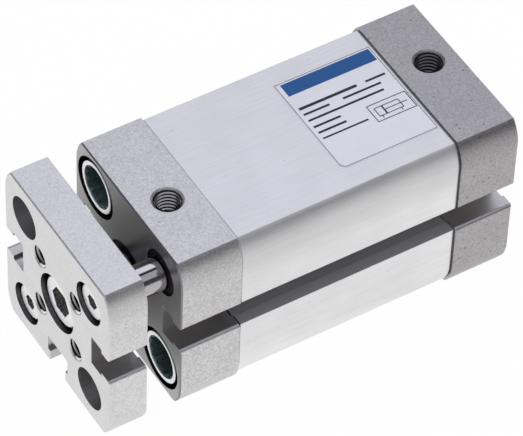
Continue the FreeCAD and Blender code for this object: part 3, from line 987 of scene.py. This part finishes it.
@dataclass
class YokePlate:
    """The square front plate with its screws and load threads."""

    edge: float = 0.14 * MM
    rod_bore_reach: float = 5.8 * MM
    guide_bore_reach: float = 4.2 * MM
    access_reach: float = 4.2 * MM
    load_bore_reach: float = 2.05 * MM
    margin: float = 0.06 * MM
    thread: Threads = Threads(
        2.0 * MM, pitch=0.7 * MM, depth=0.35 * MM, length=PLATE_FACE - PLATE_BACK - 2 * margin,
        root_share=0.1,
    )
    screw_edge: float = 0.12 * MM
    socket_share: float = 0.62
    socket_drop: float = 0.05 * MM
    socket_reach: float = 3.0 * MM
    screws: tuple[str, ...] = ("rod_screw", "upper_guide_rod_screw", "lower_guide_rod_screw")

    def build(self) -> None:
        """Dress the plate and its screws and cut the load threads."""
        self.dress_plate()
        for screw in self.screws:
            self.dress_screw(screw)
        self.cut_threads()

    def dress_screw(self, name: str) -> None:
        """Show one socket screw, the upper part of its socket darkened with painted shade.

        Args:
            name: its CAD node.
        """
        shape = node_shape(name)
        low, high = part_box(name)
        centre = (low + high) / 2
        reach = self.socket_share * (high.y - low.y) / 2
        for face in shape.faces:
            drop = high.x - face.calc_center_median().x
            inside = off_axis(face, *centre.yz) < reach
            if inside and self.socket_drop < drop < self.socket_reach:
                face.material_index = Part.BORE
        dress_node(name, shape, Body.SLIDER, (SCREW_STEEL, KEY_STEEL), self.screw_edge)

    def dress_plate(self) -> None:
        """Show the plate, its bored holes darkened with painted shade."""
        shape = node_shape("yoke_plate")
        low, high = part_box("upper_guide_rod")
        guide = (low.y + high.y) / 2
        holes = [(0.0, 0.0, self.rod_bore_reach)]
        holes += [(side * guide, side * guide, self.guide_bore_reach) for side in (1, -1)]
        for side, up in CORNERS:
            holes.append((side * THREAD_REACH, up * THREAD_REACH, self.load_bore_reach))
        access = [(side * SCREW_REACH, -side * SCREW_REACH, self.access_reach) for side in (1, -1)]
        mark_bored(shape, holes, Part.BORE)
        mark_bored(shape, access, Part.ACCESS)
        for face in shape.faces:
            behind = PLATE_FACE - face.calc_center_median().x
            if face.normal.x > SQUARE_ON and behind < self.edge:
                face.material_index = Part.PLATE_FRONT
        finishes = (PLATE_METAL, BORED_METAL_AND_SHADE, ACCESS_METAL, PLATE_FRONT)
        dress_node("yoke_plate", shape, Body.SLIDER, finishes, self.edge)

    def cut_threads(self) -> None:
        """Add the turns of the four load threads."""
        finishes = (PLATE_CREST, ROOT_SHADE)
        for index, (side, up) in enumerate(CORNERS, start=1):
            start = Vector((PLATE_FACE - self.margin, side * THREAD_REACH, up * THREAD_REACH))
            shape = self.thread.shape(start, Vector((-1, 0, 0)))
            name = "plate_thread_%d" % index
            add_piece(name, shape, Body.SLIDER, finishes)


@dataclass
class Rods:
    """The piston rod and the two guide rods, ground smooth."""

    edge: float = 0.1 * MM
    names: tuple[str, ...] = ("piston_rod", "upper_guide_rod", "lower_guide_rod")

    def build(self) -> None:
        """Dress the three rods."""
        for name in self.names:
            dress_node(name, node_shape(name), Body.SLIDER, (ROD_STEEL,), self.edge)


@dataclass
class InnerPieces:
    """Gaskets, seals, bushes, cushions and piston pieces, which keep their CAD shapes."""

    lightened_gasket: str = "front_gasket"

    def build(self) -> None:
        """Give every CAD node that still shows its finish."""
        for name, node in frame["nodes"].items():
            if node.hide_render:
                continue
            # The front gasket gets the pale painted light in place of its rubber.
            finish = PALE_GASKET if name == self.lightened_gasket else INNER_FINISHES[SLOTS[name]]
            node.data.materials.clear()
            node.data.materials.append(material_of(finish))


@dataclass
class Label:
    """Clear film on the barrel's top, printed with plain marks and a cylinder symbol.

    The lengths are in metres, and the places and widths of printed bars in millimetres.
    """

    front: float = 31.8 * MM
    rear: float = 12.3 * MM
    far: float = -11.3 * MM
    near: float = 11.1 * MM
    top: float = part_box("barrel")[1].z
    film: float = 0.05 * MM
    ink: float = 0.02 * MM
    ink_step: float = 0.0005 * MM
    line: float = 0.13 * MM
    rounding: float = 1.4 * MM
    rounding_segments: int = 8
    slot: str = "barrel_profile"
    thin: float = 0.16
    thick: float = 0.3
    band_bar: Bar = ((30.7, -9.25), (12.8, -9.25), 3.0)
    rows: tuple[tuple[float, float, float, float], ...] = (
        (-4.3, 30.8, 19.2, 0.6), (-4.3, 17.4, 13.4, 0.45), (-2.8, 30.8, 25.6, 0.45),
        (-2.8, 22.9, 15.2, 0.45), (-1.2, 30.8, 15.6, 0.45), (0.5, 30.8, 25.4, 0.45),
        (2.0, 30.8, 25.2, 0.45), (3.5, 30.8, 21.7, 0.35),
    )

    def build(self) -> None:
        """Lay the film, its border, the band, the ruled lines and the symbol."""
        film = self.outline_sheet(0.0)
        self.raise_sheet(film, self.top, self.film)
        add_piece("label_film", film, Body.HOUSING, (LABEL_FILM,))
        self.border()
        self.print_bars("label_band", [self.band_bar], LABEL_BLUE)
        lines = [((front, y), (rear, y), width) for y, front, rear, width in self.rows]
        self.print_bars("label_lines", lines, LABEL_BLACK)
        self.symbol()

    def outline_sheet(self, inset: float) -> Mesh:
        """Make the film's flat outline with its one rounded corner.

        Args:
            inset: distance inside the film's edge.

        Returns:
            The flat sheet at height 0.
        """
        shape = bmesh.new()
        bmesh.ops.create_grid(shape, x_segments=1, y_segments=1, size=0.5)
        length = self.front - self.rear - 2 * inset
        width = self.near - self.far - 2 * inset
        middle = Vector(((self.front + self.rear) / 2, (self.near + self.far) / 2, 0))
        bmesh.ops.scale(shape, vec=(length, width, 1), verts=shape.verts)
        bmesh.ops.translate(shape, vec=middle, verts=shape.verts)
        corner = [v for v in shape.verts if v.co.x > middle.x and v.co.y > middle.y]
        bmesh.ops.bevel(
            shape, geom=corner, affect="VERTICES", offset=self.rounding - inset,
            segments=self.rounding_segments, profile=0.5, material=-1,
        )
        return shape

    def raise_sheet(self, shape: Mesh, height: float, thickness: float) -> None:
        """Give a flat sheet a thickness and a height.

        Args:
            shape: the flat sheet.
            height: height of its underside.
            thickness: its thickness.
        """
        bmesh.ops.recalc_face_normals(shape, faces=shape.faces)
        if shape.faces[:][0].normal.z < 0:
            bmesh.ops.reverse_faces(shape, faces=shape.faces)
        made = bmesh.ops.extrude_face_region(shape, geom=shape.faces[:])
        lifted = [item for item in made["geom"] if isinstance(item, bmesh.types.BMVert)]
        bmesh.ops.translate(shape, vec=(0, 0, thickness), verts=lifted)
        bmesh.ops.translate(shape, vec=(0, 0, height), verts=shape.verts)
        bmesh.ops.recalc_face_normals(shape, faces=shape.faces)

    def border(self) -> None:
        """Draw the fine dark line round the film."""
        shape = self.outline_sheet(self.line)
        bmesh.ops.inset_region(
            shape, faces=shape.faces[:], thickness=self.line, use_boundary=True,
            use_even_offset=True,
        )
        inner = max(shape.faces, key=lambda face: face.calc_area())
        bmesh.ops.delete(shape, geom=[inner], context="FACES_ONLY")
        self.raise_sheet(shape, self.top + self.film, self.ink)
        add_piece("label_border", shape, Body.HOUSING, (LABEL_GREY,))

    def print_bars(self, name: str, bars: Iterable[Bar], ink: Solid) -> None:
        """Print several bars as one piece, each a hair higher than the one before.

        Args:
            name: name of the piece.
            bars: start, end and width of each bar, in millimetres.
            ink: finish of the print.
        """
        whole = bmesh.new()
        for index, (start, end, width) in enumerate(bars):
            low, high = (Vector([v * MM for v in point]) for point in (start, end))
            run = high - low
            turn = Matrix.Rotation(math.atan2(run.y, run.x), 4, "Z")
            place = Matrix.Translation((*((high + low) / 2), 0)) @ turn
            part = bmesh.new()
            bmesh.ops.create_grid(part, x_segments=1, y_segments=1, size=0.5)
            bmesh.ops.scale(part, vec=(run.length, width * MM, 1), verts=part.verts)
            bmesh.ops.transform(part, matrix=place, verts=part.verts)
            self.raise_sheet(part, self.top + self.film, self.ink + index * self.ink_step)
            mesh = bpy.data.meshes.new("bar")
            part.to_mesh(mesh)
            part.free()
            whole.from_mesh(mesh)
            bpy.data.meshes.remove(mesh)
        add_piece(name, whole, Body.HOUSING, (ink,))

    def rectangle(self, left: float, right: float, low: float, high: float) -> list[Bar]:
        """Give the four thin bars of a rectangle.

        Args:
            left: x of one side.
            right: x of the other side.
            low: y of one side.
            high: y of the other side.

        Returns:
            The bars.
        """
        ends = [((left, y), (right, y)) for y in (low, high)]
        ends += [((x, low), (x, high)) for x in (left, right)]
        return [(start, end, self.thin) for start, end in ends]

    def symbol(self) -> None:
        """Print the frame with the symbol of a double-acting cylinder."""
        self.print_bars("label_frame", self.rectangle(20.5, 12.8, 0.9, 4.9), LABEL_BLACK)
        case = self.rectangle(19.6, 14.8, 1.9, 3.9)
        piston = ((18.1, 1.9), (18.1, 3.9), self.thick)
        rod = ((18.1, 2.9), (13.5, 2.9), self.thin)
        ports = [((x, 3.9), (x, 4.5), self.thin) for x in (19.1, 15.3)]
        self.print_bars("label_symbol", case + [piston, rod] + ports, LABEL_BLACK)


# ---- studio

@dataclass(frozen=True)
class Banner:
    """A strip of dark cloth that only the gloss shows, for a dark stripe on the rods."""

    name: str
    place: Triple
    size: Triple
    cloth: Cloth

    def build(self) -> None:
        """Hang the strip."""
        shape = bmesh.new()
        bmesh.ops.create_cube(shape, size=1.0)
        bmesh.ops.scale(shape, vec=self.size, verts=shape.verts)
        bmesh.ops.translate(shape, vec=self.place, verts=shape.verts)
        strip = new_object(self.name, shape, (self.cloth,))
        strip.visible_camera = False
        strip.visible_shadow = False
        strip.visible_diffuse = False
        strip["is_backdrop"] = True


SIDE_CLOTH = Cloth("side_cloth", "Z", low=0.02, high=0.88, soft=0.25, share=0.25)
TOP_CLOTH = Cloth("top_cloth", "Y", low=-0.22, high=0.22, soft=0.08, share=0.85)


@dataclass
class Studio:
    """Pale floor, dark cloth, one soft lamp and the camera."""

    azimuth: float = 146.841
    elevation: float = 47.907
    roll: float = 2.438
    lens: float = 274.05
    sensor: float = 36.0
    clip: Point = (0.01, 20.0)
    camera_place: Triple = (0.292273, 0.385616, 0.509144)
    level_light: Triple = (1.0, 1.0, 1.0)
    overhead: Triple = (0.68, 0.69, 0.79)
    overhead_from: float = 0.2
    overhead_full: float = 0.8
    cloth_reach: float = 1.5
    cloth_sides: int = 96
    cloth_foot: float = 0.02
    cloth_top: float = 1.45
    cloth_fade: float = 0.3
    cloth_share: float = 0.9
    floor_half: float = 3.0
    banners: tuple[Banner, ...] = (
        Banner("side_banner", (-0.5, 1.15, 0.45), (1.5, 0.02, 0.85), SIDE_CLOTH),
        Banner("top_banner", (-0.44, 0.0, 1.12), (1.4, 0.44, 0.02), TOP_CLOTH),
    )
    lamp_place: Triple = (-0.25, -0.35, 0.75)
    lamp_size: float = 0.5
    lamp_power: float = 0.6
    lamp_colour: Triple = (0.9, 0.93, 1.0)

    def build(self) -> None:
        """Set the stage."""
        bpy.context.scene.view_settings.view_transform = "Standard"
        self.make_world()
        self.make_surround()
        for banner in self.banners:
            banner.build()
        self.make_floor()
        self.make_lamp()
        self.make_camera()

    def make_world(self) -> None:
        """Make the even white surrounding light, a shade cooler overhead."""
        world = bpy.data.worlds.new("studio")
        bpy.context.scene.world = world
        graph = Graph(world, "Background", "Generated")
        height = graph.fade(graph.axis("Z"), self.overhead_from, self.overhead_full, "LINEAR")
        light = graph.mix(height, self.level_light, self.overhead)
        graph.link(light, graph.shader.inputs["Color"])

    def make_surround(self) -> None:
        """Stand dark cloth round the set, out of view, which gives the metal darker bands."""
        shape = bmesh.new()
        height = self.cloth_top - self.cloth_foot
        bmesh.ops.create_cone(
            shape, cap_ends=False, segments=self.cloth_sides, radius1=self.cloth_reach,
            radius2=self.cloth_reach, depth=height,
        )
        middle = (self.cloth_top + self.cloth_foot) / 2
        bmesh.ops.translate(shape, vec=(0, 0, middle), verts=shape.verts)
        fade = height * self.cloth_fade
        finish = Cloth(
            "dark_cloth", "Z", self.cloth_foot, self.cloth_top, fade, self.cloth_share,
        )
        cloth = new_object("dark_cloth", shape, (finish,))
        cloth.visible_camera = False
        cloth.visible_shadow = False
        cloth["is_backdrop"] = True

    def make_floor(self) -> None:
        """Lay the floor that the caps rest on."""
        shape = bmesh.new()
        bmesh.ops.create_grid(shape, x_segments=1, y_segments=1, size=self.floor_half)
        bmesh.ops.translate(shape, vec=(0, 0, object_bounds()[0].z), verts=shape.verts)
        floor = new_object("floor", shape, (PaleFloor("floor_white"),))
        floor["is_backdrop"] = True

    def make_lamp(self) -> None:
        """Hang the soft square lamp and point it at the object."""
        data = bpy.data.lights.new("top_lamp", "AREA")
        data.shape = "SQUARE"
        data.size = self.lamp_size
        data.energy = self.lamp_power
        data.color = self.lamp_colour
        lamp = bpy.data.objects.new("top_lamp", data)
        lamp.location = self.lamp_place
        low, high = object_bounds()
        way = (low + high) / 2 - Vector(self.lamp_place)
        lamp.rotation_euler = way.to_track_quat("-Z", "Y").to_euler()
        bpy.context.scene.collection.objects.link(lamp)

    def make_camera(self) -> None:
        """Stand the camera at the viewing angle."""
        data = bpy.data.cameras.new("camera")
        data.lens = self.lens
        data.sensor_width = self.sensor
        data.clip_start, data.clip_end = self.clip
        camera = bpy.data.objects.new("camera", data)
        side, rise, turn = map(math.radians, (self.azimuth, self.elevation, self.roll))
        level = math.cos(rise)
        back = Vector((math.sin(side) * level, -math.cos(side) * level, math.sin(rise)))
        right = Vector((math.cos(side), math.sin(side), 0.0))
        up = back.cross(right)
        across = right * math.cos(turn) + up * math.sin(turn)
        upright = up * math.cos(turn) - right * math.sin(turn)
        axes = Matrix((across, upright, back)).transposed().to_4x4()
        camera.matrix_world = Matrix.Translation(self.camera_place) @ axes
        bpy.context.scene.collection.objects.link(camera)
        bpy.context.scene.camera = camera


def main() -> None:
    """Build every sub-assembly in order."""
    logging.basicConfig(level=logging.INFO, format="%(name)s: %(message)s")
    assemblies = (
        Housing(), CollarScrews(), YokePlate(), Rods(), Label(), InnerPieces(), Studio(),
    )
    for assembly in assemblies:
        assembly.build()
        LOG.info("%s built", type(assembly).__name__)


if __name__ == "__main__":
    main()
